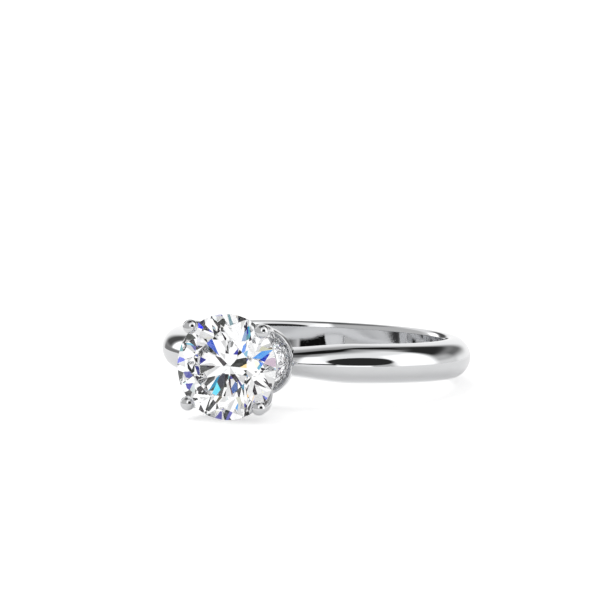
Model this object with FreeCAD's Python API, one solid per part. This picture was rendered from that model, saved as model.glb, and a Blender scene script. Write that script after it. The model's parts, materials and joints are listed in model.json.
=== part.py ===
import FreeCAD, Part
import os
from math import sin, cos, tan, pi, radians, sqrt, atan2, degrees
from FreeCAD import Vector as V

# Solitaire engagement ring: a polished D-profile shank whose shoulders taper
# to a round head.  The head is a four-prong basket on a round collar that is
# pave set with single-cut melee, and it holds one round brilliant.
# Modelled upright in a ring frame (finger axis = Z, head toward -Y, finger
# hole centre at 0,0,0), then every piece gets the same rigid placement: the
# attitude that the ring takes when it lies on a table.  Millimetres.

# ---- driving dimensions ---------------------------------------------------
R_IN = 8.05            # finger hole radius (inside diameter 16.1, US 5 1/2)
SHANK_T = 1.47         # radial thickness of the shank
W_SIDE = 1.23          # half width of the shank at the sides and the back
W_HEAD = 0.86          # half width of the shank where it meets the collar
TAPER_START = 4.0      # angle from the head where the taper begins, deg
TAPER_END = 38.0       # angle from the head where the taper is finished, deg
RHO0 = 0.30            # height above the bore where the section is widest
INNER_N = 3.0          # superellipse power of the rounded (comfort) bore edge

STONE_D = 6.50         # round brilliant, 1 ct
GIRDLE_H = 14.70       # girdle plane above the finger hole centre
GIRDLE_T = 0.15        # girdle thickness
TABLE_PCT = 0.57
CROWN_DEG = 34.5
PAV_DEG = 40.8
LOWER_HALF = 0.77      # length of the lower girdle facets
FACET_PHASE = 22.5     # bezel facets are turned half a step from the axes

BALL_R = 0.456         # prong tip ball
BALL_C = 2.36          # ball centre offset along X and Z
BALL_H = 15.09         # ball centre height

COLLAR_R = 2.13        # outer radius of the melee collar
COLLAR_H0 = 8.75       # underside of the collar, seated on the shank's flat
COLLAR_RIM = 9.25      # top of the collar's polished rim
COLLAR_TOP = 10.02     # top of the conical pave face
COLLAR_HOLE = 0.98     # open centre of the collar
RIM_ROUND = 0.10       # radius of the rounded rim

RAIL_R = 1.20          # basket rail that the prong legs end in
RAIL_TUBE = 0.24
RAIL_H = 10.16

N_MELEE = 14
MELEE_D = 0.72
PEG_R = 0.55           # peg that fastens the head in the shank
PEG_LEN = 0.42         # depth of the peg below the collar
BORE_SKIM = 0.06       # the bore is reamed this deep to a true cylinder
PEG_FLANGE_R = 1.55

out = {}


def smooth(t):
    t = max(0.0, min(1.0, t))
    return t * t * (3 - 2 * t)


# ---- shank ----------------------------------------------------------------
def half_width(th):
    a = abs(th)
    return W_HEAD + (W_SIDE - W_HEAD) * smooth((a - TAPER_START) / (TAPER_END - TAPER_START))


def shank_section(th):
    """Closed spline section at th degrees from the head (0 = head side)."""
    w = half_width(th)
    n = 36
    pts = []
    ct, st = cos(radians(th)), sin(radians(th))
    for i in range(n):
        f = 2 * pi * i / n
        s, c = sin(f), cos(f)
        if c >= 0:                                   # outer dome
            rho = RHO0 + (SHANK_T - RHO0) * c
            z = w * s
        else:                                        # rounded bore side
            rho = RHO0 - (RHO0 + BORE_SKIM) * abs(c) ** (2.0 / INNER_N)
            z = w * (1 if s >= 0 else -1) * abs(s) ** (2.0 / INNER_N)
        r = R_IN + rho
        pts.append(V(r * st, -r * ct, z))
    b = Part.BSplineCurve()
    b.interpolate(Points=pts, PeriodicFlag=True)
    return Part.Wire([b.toShape()])


def shank_half(a0, a1, steps):
    secs = [shank_section(a0 + (a1 - a0) * i / steps) for i in range(steps + 1)]
    return Part.makeLoft(secs, True, False, False)


right = shank_half(0.0, 180.0, 20)
left = right.mirror(V(0, 0, 0), V(1, 0, 0))
shank = right.fuse(left)

# true cylindrical land of the finger hole, between the rounded edges
shank = shank.cut(Part.makeCylinder(R_IN, 4.0, V(0, 0, -2.0)))

# flat seat for the collar and blind hole for the peg
seat = Part.makeCylinder(COLLAR_R, 4.0, V(0, -COLLAR_H0, 0), V(0, -1, 0))
shank = shank.cut(seat)
peg_hole = Part.makeCylinder(PEG_R, 1.0, V(0, -(COLLAR_H0 - PEG_LEN), 0), V(0, -1, 0))
shank = shank.cut(peg_hole)


# ---- faceted stones -------------------------------------------------------
def plane3(a, b, c):
    n = (b - a).cross(c - a)
    n.normalize()
    d = n.dot(a)
    if d < 0:
        n, d = n * -1.0, -d
    return (n, d)


def slope_plane(az, slope, r, h):
    """Plane whose outward normal leans from the stone axis (+Z here)."""
    s = radians(slope)
    n = V(sin(s) * cos(az), sin(s) * sin(az), cos(s))
    return (n, n.dot(V(r * cos(az), r * sin(az), h)))


def meet(p, q, r):
    n1, n2, n3 = p[0], q[0], r[0]
    den = n1.dot(n2.cross(n3))
    if abs(den) < 1e-7:
        return None
    return (n2.cross(n3) * p[1] + n3.cross(n1) * q[1] + n1.cross(n2) * r[1]) * (1.0 / den)


def polyhedron(planes):
    n = len(planes)
    verts = []
    on = [[] for _ in planes]
    for i in range(n):
        for j in range(i + 1, n):
            for k in range(j + 1, n):
                p = meet(planes[i], planes[j], planes[k])
                if p is None or p.Length > 20:
                    continue
                ok = True
                for (m, d) in planes:
                    if m.dot(p) - d > 1e-6:
                        ok = False
                        break
                if not ok:
                    continue
                found = None
                for vi, q in enumerate(verts):
                    if (q - p).Length < 1e-4:
                        found = vi
                        break
                if found is None:
                    verts.append(p)
                    found = len(verts) - 1
                for m in (i, j, k):
                    if found not in on[m]:
                        on[m].append(found)
    faces = []
    for pi_, ids in enumerate(on):
        if len(ids) < 3:
            continue
        nrm = planes[pi_][0]
        c = V(0, 0, 0)
        for v in ids:
            c = c + verts[v]
        c = c * (1.0 / len(ids))
        u = verts[ids[0]] - c
        u.normalize()
        w = nrm.cross(u)
        ids = sorted(ids, key=lambda v: atan2((verts[v] - c).dot(w), (verts[v] - c).dot(u)))
        pts = [verts[v] for v in ids]
        faces.append(Part.Face(Part.makePolygon(pts + [pts[0]])))
    sol = Part.Solid(Part.Shell(faces))
    if sol.Volume < 0:
        sol.reverse()
    return sol


def brilliant(dia):
    """57-facet round brilliant, axis +Z, girdle mid-plane at Z = 0."""
    R, g = dia / 2.0, GIRDLE_T / 2.0
    rt = TABLE_PCT * R
    tt = g + (R - rt) * tan(radians(CROWN_DEG))
    planes = [(V(0, 0, 1), tt)]
    ph = [radians(FACET_PHASE + 45 * k) for k in range(8)]
    kites = [slope_plane(a, CROWN_DEG, R, g) for a in ph]
    stars = [slope_plane(a + pi / 8, 20.5, rt * cos(pi / 8), tt) for a in ph]
    planes += kites + stars
    tl = -g - (R - (1 - LOWER_HALF) * R * cos(pi / 8)) * tan(radians(PAV_DEG))
    for k in range(8):
        a = ph[k]
        m = a + pi / 8
        b = a + pi / 4
        tip = meet(kites[k], kites[(k + 1) % 8], stars[k])
        G0, H0, G1 = [V(R * cos(x), R * sin(x), g) for x in (a, m, b)]
        planes.append(plane3(G0, H0, tip))
        planes.append(plane3(H0, G1, tip))
        L = V((1 - LOWER_HALF) * R * cos(m), (1 - LOWER_HALF) * R * sin(m), tl)
        g0, h0, g1 = [V(R * cos(x), R * sin(x), -g) for x in (a, m, b)]
        planes.append(plane3(g0, h0, L))
        planes.append(plane3(h0, g1, L))
        s = radians(PAV_DEG)
        n = V(sin(s) * cos(a), sin(s) * sin(a), -cos(s))
        planes.append((n, n.dot(V(R * cos(a), R * sin(a), -g))))
    body = polyhedron(planes)
    return body.common(Part.makeCylinder(R, 8.0, V(0, 0, -4.0)))


def single_cut(dia):
    """17-facet melee, axis +Z, girdle mid-plane at Z = 0."""
    R, g = dia / 2.0, 0.018
    rt = 0.60 * R
    planes = [(V(0, 0, 1), g + (R - rt) * tan(radians(33.0)))]
    for k in range(8):
        a = radians(22.5 + 45 * k)
        planes.append(slope_plane(a, 33.0, R, g))
        s = radians(41.0)
        n = V(sin(s) * cos(a), sin(s) * sin(a), -cos(s))
        planes.append((n, n.dot(V(R * cos(a), R * sin(a), -g))))
    body = polyhedron(planes)
    return body.common(Part.makeCylinder(R, 2.0, V(0, 0, -1.0)))


def toward(shape, base, axis, spin=0.0):
    """Place a +Z-axis shape with its axis along `axis` at `base`."""
    s = shape.copy()
    rot = FreeCAD.Rotation(V(0, 0, 1), axis).multiply(FreeCAD.Rotation(V(0, 0, 1), spin))
    s.Placement = FreeCAD.Placement(base, rot)
    return s


stone = brilliant(STONE_D)
# +Z of the stone -> -Y of the ring
stone.Placement = FreeCAD.Placement(V(0, -GIRDLE_H, 0), FreeCAD.Rotation(V(1, 0, 0), 90))
out["centre_diamond"] = stone

# ---- collar ---------------------------------------------------------------
def ring_pt(r, h):
    return V(r, -h, 0)


prof = [ring_pt(COLLAR_HOLE, COLLAR_H0 + 0.22), ring_pt(PEG_FLANGE_R, COLLAR_H0 + 0.22),
        ring_pt(PEG_FLANGE_R, COLLAR_H0), ring_pt(COLLAR_R, COLLAR_H0),
        ring_pt(COLLAR_R, COLLAR_RIM - RIM_ROUND)]
# rounded rim: a half-round land that stands a little proud of the pave face
arc_rim = Part.Arc(ring_pt(COLLAR_R, COLLAR_RIM - RIM_ROUND),
                   ring_pt(COLLAR_R - RIM_ROUND, COLLAR_RIM),
                   ring_pt(COLLAR_R - 2 * RIM_ROUND, COLLAR_RIM - RIM_ROUND)).toShape()
e = [Part.makeLine(prof[i], prof[i + 1]) for i in range(4)]
e.append(arc_rim)
p_face0 = ring_pt(COLLAR_R - 2 * RIM_ROUND - 0.01, COLLAR_RIM - RIM_ROUND - 0.03)
e.append(Part.makeLine(ring_pt(COLLAR_R - 2 * RIM_ROUND, COLLAR_RIM - RIM_ROUND), p_face0))
p_face1 = ring_pt(1.36, COLLAR_TOP)
e.append(Part.makeLine(p_face0, p_face1))
e.append(Part.makeLine(p_face1, ring_pt(COLLAR_HOLE, COLLAR_TOP)))
e.append(Part.makeLine(ring_pt(COLLAR_HOLE, COLLAR_TOP), prof[0]))
collar = Part.Face(Part.Wire(e)).revolve(V(0, 0, 0), V(0, 1, 0), 360)

face_dir = (p_face1 - p_face0)
face_len = face_dir.Length
face_dir.normalize()                       # up the cone, toward the axis
fx, fy = face_dir.x, face_dir.y
n_face = V(-fy, fx, 0)                     # outward normal of the conical face
if n_face.x < 0:
    n_face = n_face * -1.0
mid = p_face0 + face_dir * (face_len * 0.47)

melee_proto = single_cut(MELEE_D)
seat_cut = Part.makeCone(MELEE_D / 2 + 0.004, 0.10, 0.30, V(0, 0, -0.018), V(0, 0, -1))
seat_top = Part.makeCylinder(MELEE_D / 2 + 0.004, 0.5, V(0, 0, -0.018))
seat_tool = seat_cut.fuse(seat_top)

melee = []
for k in range(N_MELEE):
    a = 360.0 * (k + 0.5) / N_MELEE
    rot = FreeCAD.Rotation(V(0, 1, 0), -a)
    base = rot.multVec(mid + n_face * -0.02)
    ax = rot.multVec(n_face)
    melee.append(toward(melee_proto, base, ax))
    collar = collar.cut(toward(seat_tool, base, ax))
out["halo_collar"] = collar

# ---- basket rail and prongs ----------------------------------------------
rail = Part.makeTorus(RAIL_R, RAIL_TUBE, V(0, -RAIL_H, 0), V(0, 1, 0))
rail = rail.cut(Part.makeCylinder(3, 0.6, V(0, -COLLAR_TOP, 0), V(0, 1, 0)))
out["basket_rail"] = rail

# leg centreline in (radial, height), leg radius at the same points
LEG = [(1.24, 10.20, 0.30), (1.52, 10.80, 0.33), (1.88, 11.45, 0.36),
       (2.36, 12.20, 0.39), (2.78, 13.00, 0.41), (3.10, 13.80, 0.42),
       (3.28, 14.50, 0.43), (sqrt(2) * BALL_C, BALL_H, 0.43)]


def leg_shape():
    wires = []
    n = len(LEG)
    for i in range(n):
        r, h, rad = LEG[i]
        p0, p1 = LEG[max(0, i - 1)], LEG[min(n - 1, i + 1)]
        t = V(p1[0] - p0[0], -(p1[1] - p0[1]), 0)
        t.normalize()
        wires.append(Part.Wire([Part.makeCircle(rad, V(r, -h, 0), t)]))
    leg = Part.makeLoft(wires, True, False, False)
    ball = Part.makeSphere(BALL_R, V(sqrt(2) * BALL_C, -BALL_H, 0))
    return leg.fuse(ball)


leg0 = leg_shape()
names = {"prong_upper_right": 45, "prong_upper_left": 135,
         "prong_lower_left": 225, "prong_lower_right": 315}
for nm, a in names.items():
    s = leg0.copy()
    s.rotate(V(0, 0, 0), V(0, 1, 0), -a)
    s = s.cut(stone).cut(rail).cut(collar)
    sol = max(s.Solids, key=lambda q: q.Volume)
    out[nm] = sol

for k, m in enumerate(melee):
    out["halo_diamond_%02d" % (k + 1)] = m

# ---- head peg -------------------------------------------------------------
flange = Part.makeCylinder(PEG_FLANGE_R, 0.22, V(0, -COLLAR_H0, 0), V(0, -1, 0))
pin = Part.makeCylinder(PEG_R, PEG_LEN, V(0, -(COLLAR_H0 - PEG_LEN), 0), V(0, -1, 0))
out["head_peg"] = flange.fuse(pin).removeSplitter()

out["shank"] = shank

# ---- resting attitude -----------------------------------------------------
# The ring lies on the stone's girdle and on the back of the shank, so the
# head end is raised by the angle that puts both on the table.
def lowest(shape, ang):
    s = shape.copy()
    s.rotate(V(0, 0, 0), V(1, 0, 0), -ang)
    return s.optimalBoundingBox(False).ZMin


lo_a, hi_a = 2.0, 9.0
for _ in range(24):
    mid_a = 0.5 * (lo_a + hi_a)
    if lowest(stone, mid_a) < lowest(shank, mid_a):
        lo_a = mid_a
    else:
        hi_a = mid_a
TILT = 0.5 * (lo_a + hi_a)

alls = Part.Compound([s.copy() for s in out.values()])
alls.rotate(V(0, 0, 0), V(1, 0, 0), -TILT)
bb = alls.optimalBoundingBox(False)
shift = V(-(bb.XMin + bb.XMax) / 2, -(bb.YMin + bb.YMax) / 2, -bb.ZMin)

os.makedirs("parts", exist_ok=True)
for nm, s in out.items():
    sols = s.Solids
    s = sols[0] if len(sols) == 1 else Part.Compound(sols)
    s = s.copy()
    s.rotate(V(0, 0, 0), V(1, 0, 0), -TILT)
    s.translate(shift)
    s.exportStep("parts/%s.step" % nm)

land = [f for f in shank.Faces if isinstance(f.Surface, Part.Cylinder)
        and abs(f.Surface.Radius - R_IN) < 1e-3]
zz = [c for f in land for c in (f.BoundBox.ZMin, f.BoundBox.ZMax)]
print("bore land", len(land), "length", round(max(zz) - min(zz), 4),
      "param", [[round(c, 4) for c in f.ParameterRange] for f in land],
      "hole centre mm", [round(c, 5) for c in shift],
      "hole axis", [0, round(sin(radians(TILT)), 6), round(cos(radians(TILT)), 6)])
vol_metal = sum(s.Volume for k, s in out.items() if "diamond" not in k)
vol_stone = sum(s.Volume for k, s in out.items() if "diamond" in k)
print("tilt", round(TILT, 4), "shift", [round(c, 5) for c in shift],
      "size", round(bb.XLength, 4), round(bb.YLength, 4), round(bb.ZLength, 4))
print("metal mm3", round(vol_metal, 3), "stones mm3", round(vol_stone, 4),
      "nodes", len(out), "valid", all(s.isValid() for s in out.values()))
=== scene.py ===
import bpy, bmesh
from math import sin, cos, tan, pi, radians, sqrt, atan2, acos
from mathutils import Vector, Matrix
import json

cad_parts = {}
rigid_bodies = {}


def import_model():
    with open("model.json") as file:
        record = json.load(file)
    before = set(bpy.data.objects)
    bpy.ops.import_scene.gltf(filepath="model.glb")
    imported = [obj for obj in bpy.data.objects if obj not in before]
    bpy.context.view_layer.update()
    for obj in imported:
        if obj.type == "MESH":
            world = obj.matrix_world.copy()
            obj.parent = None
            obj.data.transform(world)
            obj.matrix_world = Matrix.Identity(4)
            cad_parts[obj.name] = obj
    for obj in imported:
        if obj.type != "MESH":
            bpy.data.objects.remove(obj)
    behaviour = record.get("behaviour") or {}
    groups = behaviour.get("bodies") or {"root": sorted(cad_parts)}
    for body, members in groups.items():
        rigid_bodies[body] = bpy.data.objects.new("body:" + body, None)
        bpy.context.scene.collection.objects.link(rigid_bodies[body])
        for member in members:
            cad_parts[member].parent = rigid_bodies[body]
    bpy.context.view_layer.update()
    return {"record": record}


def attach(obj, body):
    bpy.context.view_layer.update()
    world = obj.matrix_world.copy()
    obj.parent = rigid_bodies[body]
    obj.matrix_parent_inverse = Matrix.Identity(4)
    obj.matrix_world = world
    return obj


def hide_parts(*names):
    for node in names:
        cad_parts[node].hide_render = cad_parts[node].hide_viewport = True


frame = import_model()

MM = 0.001

# ---- the ring's own frame (finger axis Z, head toward -Y), from the record --
hole = [m for m in frame["record"]["mounts"] if m["name"] == "finger_hole"][0]
R_IN = hole["dims"]["r_mm"]
ax = Vector(hole["axis"]).normalized()
TILT = atan2(ax.y, ax.z)
TO_FLOOR = (Matrix.Translation(Vector(hole["pos_m"])) @ Matrix.Rotation(-TILT, 4, "X")
            @ Matrix.Diagonal((MM, MM, MM, 1.0)))

# ---- dimensions of the design, mm -------------------------------------------
SHANK_T, W_SIDE, W_HEAD, RHO0, INNER_N, SKIM = 1.47, 1.23, 0.86, 0.30, 3.0, 0.06
TAPER0, TAPER1 = 4.0, 38.0
STONE_D, GIRDLE_H, GIRDLE_T = 6.50, 14.70, 0.15
BALL_R, BALL_C, BALL_H = 0.456, 2.36, 15.09
COLLAR_R, COLLAR_H0, COLLAR_RIM, COLLAR_TOP, COLLAR_HOLE, RIM = 2.13, 8.75, 9.25, 10.02, 0.98, 0.10
RAIL_R, RAIL_TUBE, RAIL_H = 1.20, 0.24, 10.16
N_MELEE, MELEE_D = 14, 0.72
PEG_R, PEG_LEN, PEG_FLANGE_R = 0.55, 0.42, 1.55
LEG = [(1.24, 10.20, 0.30), (1.52, 10.80, 0.33), (1.88, 11.45, 0.36),
       (2.36, 12.20, 0.39), (2.78, 13.00, 0.41), (3.10, 13.80, 0.42),
       (3.28, 14.50, 0.42), (sqrt(2) * BALL_C, BALL_H, 0.40)]


# ---- mesh helpers -------------------------------------------------------------
def from_bm(name, bm, mats, smooth=True, sharp=None):
    """Mesh object in floor metres from a bmesh built in ring millimetres."""
    bmesh.ops.recalc_face_normals(bm, faces=bm.faces)
    me = bpy.data.meshes.new(name)
    bm.to_mesh(me)
    bm.free()
    me.transform(TO_FLOOR)
    for m in mats:
        me.materials.append(m)
    for p in me.polygons:
        p.use_smooth = smooth
    if smooth and sharp is not None:
        me.set_sharp_from_angle(angle=radians(sharp))
    ob = bpy.data.objects.new(name, me)
    bpy.context.scene.collection.objects.link(ob)
    return ob


def grid_bm(rows, close_u=True, close_v=True, cap0=None, cap1=None):
    """Quad skin over rows of points; caps are single pole points."""
    bm = bmesh.new()
    vs = [[bm.verts.new(p) for p in r] for r in rows]
    nu, nv = len(vs), len(vs[0])
    for i in range(nu if close_u else nu - 1):
        a, b = vs[i], vs[(i + 1) % nu]
        for j in range(nv if close_v else nv - 1):
            bm.faces.new((a[j], a[(j + 1) % nv], b[(j + 1) % nv], b[j]))
    if cap0 is not None:
        c = bm.verts.new(cap0)
        for j in range(nv):
            bm.faces.new((vs[0][(j + 1) % nv], vs[0][j], c))
    if cap1 is not None:
        c = bm.verts.new(cap1)
        for j in range(nv):
            bm.faces.new((vs[-1][j], vs[-1][(j + 1) % nv], c))
    return bm


def lathe_bm(profile, seg):
    """Closed ring of revolution about the head axis from (r, h) points."""
    rows = []
    for i in range(seg):
        a = 2 * pi * i / seg
        rows.append([Vector((r * cos(a), -h, r * sin(a))) for r, h in profile])
    return grid_bm(rows)


def solid_disc_bm(r, h0, h1, seg):
    """Closed cylinder about the head axis."""
    rows = []
    for h in (h0, h1):
        rows.append([Vector((r * cos(2 * pi * i / seg), -h, r * sin(2 * pi * i / seg))) for i in range(seg)])
    return grid_bm(rows, close_u=False, cap0=Vector((0, -h0, 0)), cap1=Vector((0, -h1, 0)))


def tool_object(name, bm):
    ob = from_bm(name, bm, [], smooth=False)
    ob.hide_render = True
    return ob


def boolean(ob, tool, op="DIFFERENCE"):
    m = ob.modifiers.new("b", "BOOLEAN")
    m.operation, m.object, m.solver = op, tool, "EXACT"
    m.use_self = False
    dg = bpy.context.evaluated_depsgraph_get()
    me = bpy.data.meshes.new_from_object(ob.evaluated_get(dg))
    ob.modifiers.clear()
    old = ob.data
    ob.data = me
    bpy.data.meshes.remove(old)


def drop(ob):
    me = ob.data
    bpy.data.objects.remove(ob)
    bpy.data.meshes.remove(me)


def tidy(ob, sharp, merge=2e-7):
    me = ob.data
    bm = bmesh.new()
    bm.from_mesh(me)
    bmesh.ops.remove_doubles(bm, verts=bm.verts, dist=merge)
    bmesh.ops.dissolve_degenerate(bm, edges=bm.edges, dist=1e-7)
    bmesh.ops.recalc_face_normals(bm, faces=bm.faces)
    bm.to_mesh(me)
    bm.free()
    for p in me.polygons:
        p.use_smooth = True
    me.set_sharp_from_angle(angle=radians(sharp))


# ---- shank ---------------------------------------------------------------------
def smooth01(t):
    t = max(0.0, min(1.0, t))
    return t * t * (3 - 2 * t)


def half_width(deg):
    return W_HEAD + (W_SIDE - W_HEAD) * smooth01((abs(deg) - TAPER0) / (TAPER1 - TAPER0))


def shank_bm(nu=576, nv=112):
    rows = []
    for i in range(nu):
        th = -180 + 360.0 * i / nu
        w = half_width(th)
        st, ct = sin(radians(th)), cos(radians(th))
        row = []
        for j in range(nv):
            f = 2 * pi * (j + 0.5) / nv
            s, c = sin(f), cos(f)
            if c >= 0:
                rho, z = RHO0 + (SHANK_T - RHO0) * c, w * s
            else:
                rho = RHO0 - (RHO0 + SKIM) * abs(c) ** (2.0 / INNER_N)
                z = w * (1 if s >= 0 else -1) * abs(s) ** (2.0 / INNER_N)
            r = max(R_IN, R_IN + rho)
            row.append(Vector((r * st, -r * ct, z)))
        rows.append(row)
    return grid_bm(rows)


# ---- round brilliants -------------------------------------------------------------
def slope_plane(az, slope, r, h):
    s = radians(slope)
    n = Vector((sin(s) * cos(az), sin(s) * sin(az), cos(s)))
    return (n, n.dot(Vector((r * cos(az), r * sin(az), h))))


def plane3(a, b, c):
    n = (b - a).cross(c - a).normalized()
    d = n.dot(a)
    return (n, d) if d > 0 else (-n, -d)


def meet(p, q, r):
    n1, n2, n3 = p[0], q[0], r[0]
    den = n1.dot(n2.cross(n3))
    return (n2.cross(n3) * p[1] + n3.cross(n1) * q[1] + n1.cross(n2) * r[1]) / den


def brilliant_planes(dia, girdle, table=0.57, crown=34.5, pav=40.8, lower=0.77, star=20.5, phase=22.5):
    R, g = dia / 2.0, girdle / 2.0
    rt = table * R
    tt = g + (R - rt) * tan(radians(crown))
    planes = [(Vector((0, 0, 1)), tt)]
    ph = [radians(phase + 45 * k) for k in range(8)]
    kites = [slope_plane(a, crown, R, g) for a in ph]
    stars = [slope_plane(a + pi / 8, star, rt * cos(pi / 8), tt) for a in ph]
    planes += kites + stars
    tl = -g - (R - (1 - lower) * R * cos(pi / 8)) * tan(radians(pav))
    for k in range(8):
        a, m, b = ph[k], ph[k] + pi / 8, ph[k] + pi / 4
        tip = meet(kites[k], kites[(k + 1) % 8], stars[k])
        G0, H0, G1 = [Vector((R * cos(x), R * sin(x), g)) for x in (a, m, b)]
        planes += [plane3(G0, H0, tip), plane3(H0, G1, tip)]
        L = Vector(((1 - lower) * R * cos(m), (1 - lower) * R * sin(m), tl))
        g0, h0, g1 = [Vector((R * cos(x), R * sin(x), -g)) for x in (a, m, b)]
        planes += [plane3(g0, h0, L), plane3(h0, g1, L)]
        s = radians(pav)
        n = Vector((sin(s) * cos(a), sin(s) * sin(a), -cos(s)))
        planes.append((n, n.dot(Vector((R * cos(a), R * sin(a), -g)))))
    return planes


def single_cut_planes(dia, girdle=0.036, table=0.60, crown=33.0, pav=41.0):
    R, g = dia / 2.0, girdle / 2.0
    planes = [(Vector((0, 0, 1)), g + (R - table * R) * tan(radians(crown)))]
    for k in range(8):
        a = radians(22.5 + 45 * k)
        planes.append(slope_plane(a, crown, R, g))
        s = radians(pav)
        n = Vector((sin(s) * cos(a), sin(s) * sin(a), -cos(s)))
        planes.append((n, n.dot(Vector((R * cos(a), R * sin(a), -g)))))
    return planes


def gem_bm(dia, planes, seg):
    """Cylinder of the girdle's diameter, cut by every facet plane."""
    bm = bmesh.new()
    bmesh.ops.create_cone(bm, cap_ends=True, segments=seg, radius1=dia / 2, radius2=dia / 2, depth=dia * 1.3)
    for n, d in planes:
        geom = bm.verts[:] + bm.edges[:] + bm.faces[:]
        res = bmesh.ops.bisect_plane(bm, geom=geom, plane_co=n * d, plane_no=n, clear_outer=True, dist=1e-6)
        edges = [e for e in bm.edges if e.is_boundary]
        if edges:
            bmesh.ops.edgeloop_fill(bm, edges=edges)
    bmesh.ops.remove_doubles(bm, verts=bm.verts, dist=1e-5)
    bm.normal_update()
    for f in bm.faces:
        f.material_index = 1 if abs(f.normal.z) < 0.02 else 0
    return bm


def place_gem(bm, base, axis, spin=0.0):
    q = Vector((0, 0, 1)).rotation_difference(axis)
    m = Matrix.Translation(base) @ q.to_matrix().to_4x4() @ Matrix.Rotation(spin, 4, "Z")
    bmesh.ops.transform(bm, matrix=m, verts=bm.verts)


# ---- materials --------------------------------------------------------------------
def nodes_of(name):
    m = bpy.data.materials.new(name)
    m.use_nodes = True
    nt = m.node_tree
    bsdf = nt.nodes["Principled BSDF"]
    return m, nt, bsdf


def metal_material(name, color, rough, scratch, seed):
    """Polished rhodium-plated gold: a clean mirror with the faint uneven
    polish and hairlines that a buffing wheel leaves."""
    m, nt, b = nodes_of(name)
    N, L = nt.nodes, nt.links
    b.inputs["Metallic"].default_value = 1.0
    tc = N.new("ShaderNodeTexCoord")
    # uneven polish, about 1 mm across
    big = N.new("ShaderNodeTexNoise")
    big.inputs["Scale"].default_value = 900.0
    big.inputs["Detail"].default_value = 3.0
    L.new(tc.outputs["Object"], big.inputs["Vector"])
    mp = N.new("ShaderNodeMapping")
    mp.inputs["Location"].default_value = (seed, 0, 0)
    mp.inputs["Scale"].default_value = (1.0, 1.0, 9.0)
    L.new(tc.outputs["Object"], mp.inputs["Vector"])
    # hairlines
    hair = N.new("ShaderNodeTexNoise")
    hair.inputs["Scale"].default_value = 5200.0
    hair.inputs["Detail"].default_value = 2.0
    L.new(mp.outputs["Vector"], hair.inputs["Vector"])
    rr = N.new("ShaderNodeMapRange")
    rr.inputs["From Min"].default_value, rr.inputs["From Max"].default_value = 0.35, 0.7
    rr.inputs["To Min"].default_value, rr.inputs["To Max"].default_value = rough, rough * 2.2
    L.new(big.outputs["Fac"], rr.inputs["Value"])
    L.new(rr.outputs["Result"], b.inputs["Roughness"])
    cr = N.new("ShaderNodeMix")
    cr.data_type = "RGBA"
    cr.inputs["A"].default_value = (*color, 1)
    cr.inputs["B"].default_value = (*[c * 0.965 for c in color], 1)
    L.new(big.outputs["Fac"], cr.inputs["Factor"])
    L.new(cr.outputs["Result"], b.inputs["Base Color"])
    bp = N.new("ShaderNodeBump")
    bp.inputs["Strength"].default_value = scratch
    bp.inputs["Distance"].default_value = 0.000002
    L.new(hair.outputs["Fac"], bp.inputs["Height"])
    L.new(bp.outputs["Normal"], b.inputs["Normal"])
    return m


def diamond_material(name, ior, tint):
    """Colourless diamond with a trace of uneven body colour."""
    m, nt, b = nodes_of(name)
    N, L = nt.nodes, nt.links
    b.inputs["Transmission Weight"].default_value = 1.0
    b.inputs["IOR"].default_value = ior
    b.inputs["Roughness"].default_value = 0.0
    b.inputs["Specular Tint"].default_value = (0.35, 0.35, 0.35, 1)
    tc = N.new("ShaderNodeTexCoord")
    no = N.new("ShaderNodeTexNoise")
    no.inputs["Scale"].default_value = 1400.0
    no.inputs["Detail"].default_value = 4.0
    L.new(tc.outputs["Object"], no.inputs["Vector"])
    cr = N.new("ShaderNodeMix")
    cr.data_type = "RGBA"
    cr.inputs["A"].default_value = (1.0, 1.0, 1.0, 1)
    cr.inputs["B"].default_value = (*tint, 1)
    L.new(no.outputs["Fac"], cr.inputs["Factor"])
    L.new(cr.outputs["Result"], b.inputs["Base Color"])
    return m


def girdle_material(name):
    """Fine-ground girdle: a frosted band with a sugary grain."""
    m, nt, b = nodes_of(name)
    N, L = nt.nodes, nt.links
    b.inputs["Transmission Weight"].default_value = 1.0
    b.inputs["IOR"].default_value = 2.417
    tc = N.new("ShaderNodeTexCoord")
    no = N.new("ShaderNodeTexNoise")
    no.inputs["Scale"].default_value = 42000.0
    no.inputs["Detail"].default_value = 2.0
    L.new(tc.outputs["Object"], no.inputs["Vector"])
    rr = N.new("ShaderNodeMapRange")
    rr.inputs["To Min"].default_value, rr.inputs["To Max"].default_value = 0.18, 0.42
    L.new(no.outputs["Fac"], rr.inputs["Value"])
    L.new(rr.outputs["Result"], b.inputs["Roughness"])
    return m


GOLD = (0.735, 0.74, 0.75)
m_shank = metal_material("polished_white_gold", GOLD, 0.012, 0.10, 0.0)
m_head = metal_material("polished_white_gold_head", GOLD, 0.012, 0.08, 3.0)
m_pave = metal_material("pave_white_gold", (0.72, 0.725, 0.735), 0.03, 0.12, 5.0)
m_gem = diamond_material("diamond", 2.417, (0.985, 0.99, 1.0))
m_melee = diamond_material("melee_diamond", 2.417, (0.97, 0.98, 1.0))
m_girdle = girdle_material("diamond_girdle")


# ---- build: shank ------------------------------------------------------------------
shank = from_bm("shank_band", shank_bm(), [m_shank])
t = tool_object("t_seat", solid_disc_bm(COLLAR_R, COLLAR_H0, COLLAR_H0 + 3.0, 192))
boolean(shank, t)
drop(t)
t = tool_object("t_peg", solid_disc_bm(PEG_R, COLLAR_H0 - PEG_LEN, COLLAR_H0 + 1.0, 64))
boolean(shank, t)
drop(t)
tidy(shank, 32)
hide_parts("shank")
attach(shank, "root")

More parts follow.
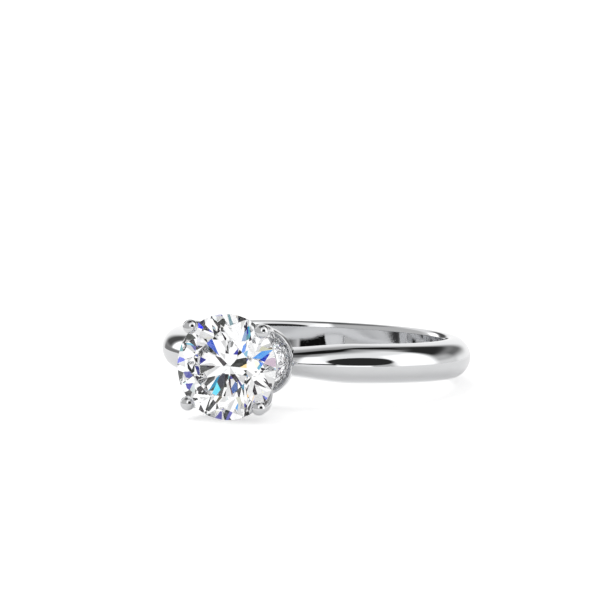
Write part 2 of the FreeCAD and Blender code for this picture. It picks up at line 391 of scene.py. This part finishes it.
# ---- build: centre stone --------------------------------------------------------------
gem = gem_bm(STONE_D, brilliant_planes(STONE_D, GIRDLE_T), 192)
bmesh.ops.transform(gem, matrix=Matrix.Translation((0, -GIRDLE_H, 0)) @ Matrix.Rotation(radians(90), 4, "X"), verts=gem.verts)
stone = from_bm("centre_brilliant", gem, [m_gem, m_girdle], smooth=False)
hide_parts("centre_diamond")
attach(stone, "root")

# ---- build: collar with pave grains -----------------------------------------------------
p_face0 = (COLLAR_R - 2 * RIM - 0.01, COLLAR_RIM - RIM - 0.03)
p_face1 = (1.36, COLLAR_TOP)
prof = [(COLLAR_HOLE, COLLAR_H0 + 0.22), (PEG_FLANGE_R, COLLAR_H0 + 0.22), (PEG_FLANGE_R, COLLAR_H0)]
prof += [(COLLAR_R - 0.05, COLLAR_H0)]
for k in range(1, 7):                                   # small lower edge round
    a = radians(-90 + 15 * k)
    prof.append((COLLAR_R - 0.05 + 0.05 * cos(a), COLLAR_H0 + 0.05 + 0.05 * sin(a)))
for k in range(0, 25):                                  # half-round rim
    a = radians(180.0 * k / 24)
    prof.append((COLLAR_R - RIM + RIM * cos(a), COLLAR_RIM - RIM + RIM * sin(a)))
prof.append(p_face0)
for k in range(1, 8):
    s = k / 8.0
    prof.append((p_face0[0] + (p_face1[0] - p_face0[0]) * s, p_face0[1] + (p_face1[1] - p_face0[1]) * s))
prof += [p_face1, (1.30, COLLAR_TOP + 0.0), (COLLAR_HOLE + 0.03, COLLAR_TOP), (COLLAR_HOLE, COLLAR_TOP - 0.03)]
collar = from_bm("pave_collar", lathe_bm(prof, 256), [m_pave])

fd = Vector((p_face1[0] - p_face0[0], -(p_face1[1] - p_face0[1]), 0))
flen = fd.length
fd.normalize()
fn = Vector((-fd.y, fd.x, 0))
if fn.x < 0:
    fn = -fn
mid = Vector((p_face0[0], -p_face0[1], 0)) + fd * (flen * 0.47)


def around(v, deg):
    return Matrix.Rotation(radians(-deg), 3, "Y") @ v


# stone seats: one cutter per melee, a cone under a short cylinder
seats = bmesh.new()
grains = bmesh.new()
gem_places = []
for k in range(N_MELEE):
    a = 360.0 * (k + 0.5) / N_MELEE
    base = around(mid + fn * -0.02, a)
    axis = around(fn, a)
    gem_places.append((base, axis))
    prof_s = [(MELEE_D / 2 + 0.004, 0.45), (MELEE_D / 2 + 0.004, -0.018), (0.06, -0.33)]
    rows = [[Vector((r * cos(2 * pi * i / 40), r * sin(2 * pi * i / 40), z)) for i in range(40)] for r, z in prof_s]
    one = grid_bm(rows, close_u=False, cap0=Vector((0, 0, 0.45)), cap1=Vector((0, 0, -0.33)))
    bmesh.ops.recalc_face_normals(one, faces=one.faces)
    place_gem(one, base, axis)
    tmp = bpy.data.meshes.new("tmp")
    one.to_mesh(tmp)
    one.free()
    seats.from_mesh(tmp)
    bpy.data.meshes.remove(tmp)
t = tool_object("t_seats", seats)
boolean(collar, t)
drop(t)

# grains: two rows of rounded beads between the melee, raised from the collar
gr = []
for k in range(N_MELEE):
    a = 360.0 * k / N_MELEE
    for off, rad in ((0.30, 0.085), (-0.30, 0.095), (0.10, 0.05), (-0.11, 0.055)):
        c = around(Vector((p_face0[0], -p_face0[1], 0)) + fd * (flen * 0.47 + off) + fn * 0.015, a)
        gr.append((c, rad))
for i, (c, rad) in enumerate(gr):
    one = bmesh.new()
    bmesh.ops.create_uvsphere(one, u_segments=20, v_segments=12, radius=rad)
    bmesh.ops.translate(one, vec=c, verts=one.verts)
    tmp = bpy.data.meshes.new("tmp")
    one.to_mesh(tmp)
    one.free()
    grains.from_mesh(tmp)
    bpy.data.meshes.remove(tmp)
t = tool_object("t_grains", grains)
boolean(collar, t, "UNION")
drop(t)
tidy(collar, 35, 1.0e-6)
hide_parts("halo_collar")
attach(collar, "root")

for k, (base, axis) in enumerate(gem_places):
    g = gem_bm(MELEE_D, single_cut_planes(MELEE_D), 48)
    place_gem(g, base, axis, spin=radians(11 * (k % 3)))
    ob = from_bm("melee_%02d" % (k + 1), g, [m_melee, m_girdle], smooth=False)
    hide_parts("halo_diamond_%02d" % (k + 1))
    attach(ob, "root")

# ---- build: basket rail -----------------------------------------------------------------
rail_prof = []
for k in range(40):
    a = 2 * pi * k / 40
    rail_prof.append((RAIL_R + RAIL_TUBE * cos(a), max(COLLAR_TOP, RAIL_H + RAIL_TUBE * sin(a))))
clean = []
for p in rail_prof:
    if not clean or (Vector(p) - Vector(clean[-1])).length > 1e-6:
        clean.append(p)
rail = from_bm("basket_rail_ring", lathe_bm(clean, 192), [m_head])
tidy(rail, 35)
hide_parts("basket_rail")
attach(rail, "root")


# ---- build: prongs ------------------------------------------------------------------------
def catmull(pts, t):
    n = len(pts) - 1
    x = min(n - 1e-9, max(0.0, t * n))
    i = int(x)
    f = x - i
    p0, p1, p2, p3 = [pts[max(0, min(n, i + k))] for k in (-1, 0, 1, 2)]
    return [0.5 * ((2 * b) + (c - a) * f + (2 * a - 5 * b + 4 * c - d) * f * f + (3 * b - a - 3 * c + d) * f ** 3)
            for a, b, c, d in zip(p0, p1, p2, p3)]


def prong_bm(az, nseg=48):
    """Leg swept up the basket that swells into the ball tip."""
    pts = LEG
    rows = []
    ca, sa = cos(radians(az)), sin(radians(az))
    path = [catmull(pts, i / 60.0) for i in range(61)]
    end = Vector((path[-1][0], -path[-1][1]))
    d_end = (end - Vector((path[-4][0], -path[-4][1]))).normalized()
    ball = Vector((sqrt(2) * BALL_C, -BALL_H))
    rings = []
    for i, (r, h, rad) in enumerate(path):
        p = Vector((r, -h))
        s = (p - ball).dot(d_end)
        if s > -BALL_R * 0.62:
            break
        a = path[max(0, i - 1)]
        b = path[min(60, i + 1)]
        t = (Vector((b[0], -b[1])) - Vector((a[0], -a[1]))).normalized()
        near = max(0.0, 1.0 + (s + BALL_R * 0.62) / 0.55)
        rings.append((p, t, rad * (1 - 0.10 * near)))
    # ball surface from just above the neck to the crown of the ball
    n = 22
    start = acos(-0.62)
    for i in range(n + 1):
        a = start * (1 - i / float(n)) + 0.06 * (i / float(n))
        rings.append((ball + d_end * (BALL_R * cos(a)), d_end, BALL_R * sin(a)))
    for p, t, rad in rings:
        c = Vector((p.x * ca, p.y, p.x * sa))
        t3 = Vector((t.x * ca, t.y, t.x * sa))
        u = Vector((-sa, 0, ca))
        v = t3.cross(u).normalized()
        rows.append([c + u * (rad * cos(2 * pi * k / nseg)) + v * (rad * sin(2 * pi * k / nseg)) for k in range(nseg)])
    p0 = rings[0][0]
    tip = ball + d_end * BALL_R
    return grid_bm(rows, close_u=False, cap0=Vector((p0.x * ca, p0.y, p0.x * sa)),
                   cap1=Vector((tip.x * ca, tip.y, tip.x * sa)))


prongs = {"prong_upper_right": 45, "prong_upper_left": 135,
          "prong_lower_left": 225, "prong_lower_right": 315}
rail_tool = from_bm("t_rail", lathe_bm(clean, 96), [])
collar_tool = tool_object("t_collar", lathe_bm([(0.5, 9.0), (1.95, 9.0), (1.36, COLLAR_TOP), (0.5, COLLAR_TOP)], 96))
for nm, az in prongs.items():
    ob = from_bm("ball_" + nm, prong_bm(az), [m_head])
    for tool in (stone, rail_tool, collar_tool):
        boolean(ob, tool)
    ob.data.materials.clear()
    ob.data.materials.append(m_head)
    tidy(ob, 40)
    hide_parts(nm)
    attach(ob, "root")
drop(rail_tool)
drop(collar_tool)

# the peg keeps its CAD shape
for ob in bpy.context.scene.objects:
    if ob.type == "MESH" and ob.name.startswith("head_peg"):
        for s in ob.material_slots:
            s.material = m_head

# ---- stage -----------------------------------------------------------------------------------
FLOOR_R = 0.024


def floor():
    bm = bmesh.new()
    bmesh.ops.create_circle(bm, cap_ends=True, segments=128, radius=FLOOR_R)
    me = bpy.data.meshes.new("floor")
    bm.to_mesh(me)
    bm.free()
    ob = bpy.data.objects.new("floor", me)
    ob.location = (0, 0, -0.00001)
    bpy.context.scene.collection.objects.link(ob)
    m, nt, b = nodes_of("floor_white_painted_glow")
    b.inputs["Base Color"].default_value = (0.9, 0.9, 0.9, 1)
    b.inputs["Roughness"].default_value = 0.9
    b.inputs["Specular IOR Level"].default_value = 0.0
    # painted glow: the floor emits light though it is no lamp, which washes out its shadows. Lens and stones see the
    # glow evenly, the metal sees a painted brighter glow inside the finger hole and a dimmer one outside it
    b.inputs["Emission Color"].default_value = (1, 1, 1, 1)
    tc = nt.nodes.new("ShaderNodeTexCoord")
    off = nt.nodes.new("ShaderNodeVectorMath")
    off.operation = "DISTANCE"
    off.inputs[1].default_value = (0, hole["pos_m"][1], 0)
    nt.links.new(tc.outputs["Object"], off.inputs[0])
    # painted glow seen in reflections: stronger inside the finger hole, weaker outside it
    rr = nt.nodes.new("ShaderNodeMapRange")
    rr.interpolation_type = "SMOOTHSTEP"
    for k, v in (("From Min", 0.0074), ("From Max", 0.0084), ("To Min", 0.42), ("To Max", 0.19)):
        rr.inputs[k].default_value = v
    nt.links.new(off.outputs["Value"], rr.inputs["Value"])
    lp = nt.nodes.new("ShaderNodeLightPath")
    # camera and transmission rays see an even painted glow of the same strength everywhere
    mx = nt.nodes.new("ShaderNodeMix")
    mx.data_type = "FLOAT"
    mx.inputs["B"].default_value = FLOOR_PAINTED_GLOW
    either = nt.nodes.new("ShaderNodeMath")
    either.operation = "ADD"
    either.use_clamp = True
    nt.links.new(lp.outputs["Is Camera Ray"], either.inputs[0])
    nt.links.new(lp.outputs["Is Transmission Ray"], either.inputs[1])
    nt.links.new(either.outputs[0], mx.inputs["Factor"])
    nt.links.new(rr.outputs["Result"], mx.inputs["A"])
    nt.links.new(mx.outputs["Result"], b.inputs["Emission Strength"])
    me.materials.append(m)
    return ob


FLOOR_PAINTED_GLOW = 0.47
floor()


class Sky:
    """Soft studio painted on the world by direction: azimuth is measured from
    the head's side (-Y) toward +X, elevation from the floor, in degrees."""

    def __init__(self):
        self.w = bpy.data.worlds.new("studio")
        bpy.context.scene.world = self.w
        self.w.use_nodes = True
        self.nt = self.w.node_tree
        self.N, self.L = self.nt.nodes, self.nt.links
        tc = self.N.new("ShaderNodeTexCoord")
        self.dir = tc.outputs["Generated"]
        sep = self.N.new("ShaderNodeSeparateXYZ")
        self.L.new(self.dir, sep.inputs[0])
        self.el = self.math("MULTIPLY", self.math("ARCSINE", sep.outputs["Z"]), 180 / pi)

    def math(self, op, a, b=None, clamp=False):
        n = self.N.new("ShaderNodeMath")
        n.operation = op
        n.use_clamp = clamp
        for i, v in enumerate((a, b)):
            if v is None:
                continue
            if isinstance(v, (int, float)):
                n.inputs[i].default_value = v
            else:
                self.L.new(v, n.inputs[i])
        return n.outputs[0]

    def dot(self, v):
        n = self.N.new("ShaderNodeVectorMath")
        n.operation = "DOT_PRODUCT"
        self.L.new(self.dir, n.inputs[0])
        n.inputs[1].default_value = v
        return n.outputs["Value"]

    def ramp(self, x, x0, x1, y0=1.0, y1=0.0):
        n = self.N.new("ShaderNodeMapRange")
        n.interpolation_type = "SMOOTHSTEP"
        for k, v in (("From Min", x0), ("From Max", x1), ("To Min", y0), ("To Max", y1)):
            n.inputs[k].default_value = v
        self.L.new(x, n.inputs["Value"])
        return n.outputs["Result"]

    def box(self, under, az0, az1, el0, el1, value, soft=5.0, oval=False):
        """A soft-edged panel of the given brightness over what is under it."""
        c, h = radians((az0 + az1) / 2.0), (az1 - az0) / 2.0
        e, g = (el0 + el1) / 2.0, (el1 - el0) / 2.0
        side = self.dot((cos(c), sin(c), 0))
        ahead = self.dot((sin(c), -cos(c), 0))
        a = self.math("ABSOLUTE", self.math("MULTIPLY", self.math("ARCTAN2", side, ahead), 180 / pi))
        b = self.math("ABSOLUTE", self.math("SUBTRACT", self.el, e))
        if oval:
            q = self.math("ADD", self.math("POWER", self.math("DIVIDE", a, h), 2.4),
                          self.math("POWER", self.math("DIVIDE", b, g), 2.4))
            w = self.ramp(q, 1 - soft / h, 1 + soft / h)
        else:
            w = self.math("MULTIPLY", self.ramp(a, h - soft, h + soft), self.ramp(b, g - soft, g + soft))
        n = self.N.new("ShaderNodeMix")
        n.data_type = "FLOAT"
        self.L.new(w, n.inputs["Factor"])
        if isinstance(under, (int, float)):
            n.inputs["A"].default_value = under
        else:
            self.L.new(under, n.inputs["A"])
        n.inputs["B"].default_value = value
        return n.outputs["Result"]

    def sparkle(self):
        """Small hard-edged lights and gaps that the stones break up. Each
        colour sees them a little turned, and blue comes in first at the edge
        of a gap, which gives the stone its blue, teal and rainbow fire."""
        out = []
        sel = self.N.new("ShaderNodeTexNoise")
        sel.inputs["Scale"].default_value = 3.7
        sel.inputs["Detail"].default_value = 0.0
        self.L.new(self.dir, sel.inputs["Vector"])
        sel = self.ramp(sel.outputs["Fac"], 0.54, 0.58, 0.25, 1.0)
        tone = self.N.new("ShaderNodeTexNoise")
        tone.inputs["Scale"].default_value = 6.5
        tone.inputs["Detail"].default_value = 1.0
        self.L.new(self.dir, tone.inputs["Vector"])
        tone = self.ramp(tone.outputs["Fac"], 0.42, 0.53, 0.72, 1.16)
        for i, turn in enumerate(((0.0, 0.0, 0.0), (0.35, 0.2, 0.3), (0.8, 0.5, 0.7))):
            mp = self.N.new("ShaderNodeMapping")
            mp.inputs["Rotation"].default_value = [radians(x) for x in turn]
            self.L.new(self.dir, mp.inputs["Vector"])
            no = self.N.new("ShaderNodeTexNoise")
            no.inputs["Scale"].default_value = SPARK_SCALE
            no.inputs["Detail"].default_value = 1.5
            no.inputs["Roughness"].default_value = 0.6
            self.L.new(mp.outputs["Vector"], no.inputs["Vector"])
            f = no.outputs["Fac"]
            full = self.ramp(f, (0.461, 0.459, 0.457)[i], 0.477, 0.0, 1.0)
            if i == 1:
                part = self.math("MULTIPLY", self.ramp(f, 0.447, 0.453, 0.014, 0.36), sel)
            elif i == 0:
                part = self.ramp(f, 0.449, 0.455, 0.010, 0.10)
            else:
                part = self.ramp(f, 0.441, 0.449, 0.010, 0.40)
            n = self.N.new("ShaderNodeMix")
            n.data_type = "FLOAT"
            self.L.new(full, n.inputs["Factor"])
            self.L.new(part, n.inputs["A"])
            self.L.new(tone, n.inputs["B"])
            out.append(n.outputs["Result"])
        return out

    def pick(self, test, yes, no):
        n = self.N.new("ShaderNodeMix")
        n.data_type = "RGBA"
        self.L.new(test, n.inputs["Factor"])
        for k, v in (("B", yes), ("A", no)):
            if isinstance(v, (int, float)):
                n.inputs[k].default_value = (v, v, v, 1)
            else:
                self.L.new(v, n.inputs[k])
        return n.outputs["Result"]


SPARK_SCALE = 2.6
sky = Sky()
g = sky.ramp(sky.el, 50.0, 72.0, 0.58, 0.40)
g = sky.box(g, -100, 5, 54, 92, 0.18, 7)            # unlit ceiling, left
g = sky.box(g, 8, 36, -8, 56, 1.45, 4)              # light beside the head
g = sky.box(g, -165, -95, 6, 50, 0.95, 8)           # wall, rear left
g = sky.box(g, 150, 222, -14, 40, 1.05, 10)         # pale wall behind
g = sky.box(g, 126, 178, 20, 52, 0.03, 8)           # gap, rear right
g = sky.box(g, 146, 180, 6, 24, 0.18, 8)
g = sky.box(g, 147, 177, 48, 84, 0.01, 5)
g = sky.box(g, 86, 150, -20, 3, 0.85, 4)            # table edge
g = sky.box(g, 28, 126, 20, 64, 1.06, 9)            # large softbox, right and above
g = sky.box(g, 84, 124, -8, 42, 1.60, 6)            # side softbox
g = sky.box(g, 30, 84, -3, 38, 0.03, 5, oval=True)    # the camera's side, unlit
g = sky.box(g, 4, 37, -3.5, 4.5, 0.006, 1.5)       # its stand, low
g = sky.box(g, 36, 64, -13, -4, 1.70, 2)            # lit strip below it
g = sky.box(g, -138, -118, -1, 27, 0.09, 6)         # stand and window, rear left
g = sky.box(g, -117, -100, 0, 20, 1.60, 2.5)
g = sky.box(g, -136, -98, -8, -1, 0.25, 2)
g = sky.box(g, -180, 180, 76, 104, 0.01, 4)         # dark ceiling
glossy = g
comb = sky.N.new("ShaderNodeCombineColor")
for i, c in enumerate(sky.sparkle()):
    sky.L.new(c, comb.inputs[i])
lp = sky.N.new("ShaderNodeLightPath")
col = sky.pick(lp.outputs["Is Transmission Ray"], comb.outputs["Color"], glossy)
col = sky.pick(lp.outputs["Is Diffuse Ray"], 0.63, col)
col = sky.pick(lp.outputs["Is Camera Ray"], 1.25, col)
sky.L.new(col, sky.nt.nodes["Background"].inputs["Color"])
sky.nt.nodes["Background"].inputs["Strength"].default_value = 1.0

def key_light():
    """Broad light from behind left; the metal and stones don't mirror it."""
    li = bpy.data.lights.new("key", "SUN")
    li.energy, li.angle = 0.65, radians(50)
    ob = bpy.data.objects.new("key", li)
    ob.rotation_euler = Vector((-0.62, 0.25, 1.0)).to_track_quat("Z", "Y").to_euler()
    ob.visible_glossy = ob.visible_transmission = False
    bpy.context.scene.collection.objects.link(ob)


key_light()


# ---- camera ---------------------------------------------------------------------------------
def camera():
    az, el, roll = radians(21.73), radians(4.57), radians(2.045)
    tx, ty, D, k = 1.012, -3.197, 1350.0, 16.19      # mm, mm, mm, px per mm
    b = Vector((sin(az) * cos(el), -cos(az) * cos(el), sin(el)))
    rt = Vector((cos(az), sin(az), 0))
    up = b.cross(rt)
    r2 = rt * cos(roll) + up * sin(roll)
    u2 = -rt * sin(roll) + up * cos(roll)
    pos = -(r2 * tx + u2 * ty) + b * D
    R = TO_FLOOR.to_3x3() * (1 / MM)
    cam = bpy.data.cameras.new("camera")
    cam.sensor_width = 36.0
    cam.lens = 36.0 * (k * D) / 600.0
    cam.clip_start, cam.clip_end = 0.05, 20.0
    ob = bpy.data.objects.new("camera", cam)
    m = Matrix((R @ r2, R @ u2, R @ b)).transposed().to_4x4()
    m.translation = TO_FLOOR @ pos
    ob.matrix_world = m
    bpy.context.scene.collection.objects.link(ob)
    bpy.context.scene.camera = ob


camera()
sc = bpy.context.scene
sc.view_settings.view_transform = "Standard"
sc.view_settings.look = "None"
sc.cycles.max_bounces = 40
sc.cycles.transmission_bounces = 40
sc.cycles.glossy_bounces = 12
sc.cycles.diffuse_bounces = 3
sc.cycles.caustics_reflective = True
sc.cycles.caustics_refractive = True

import json
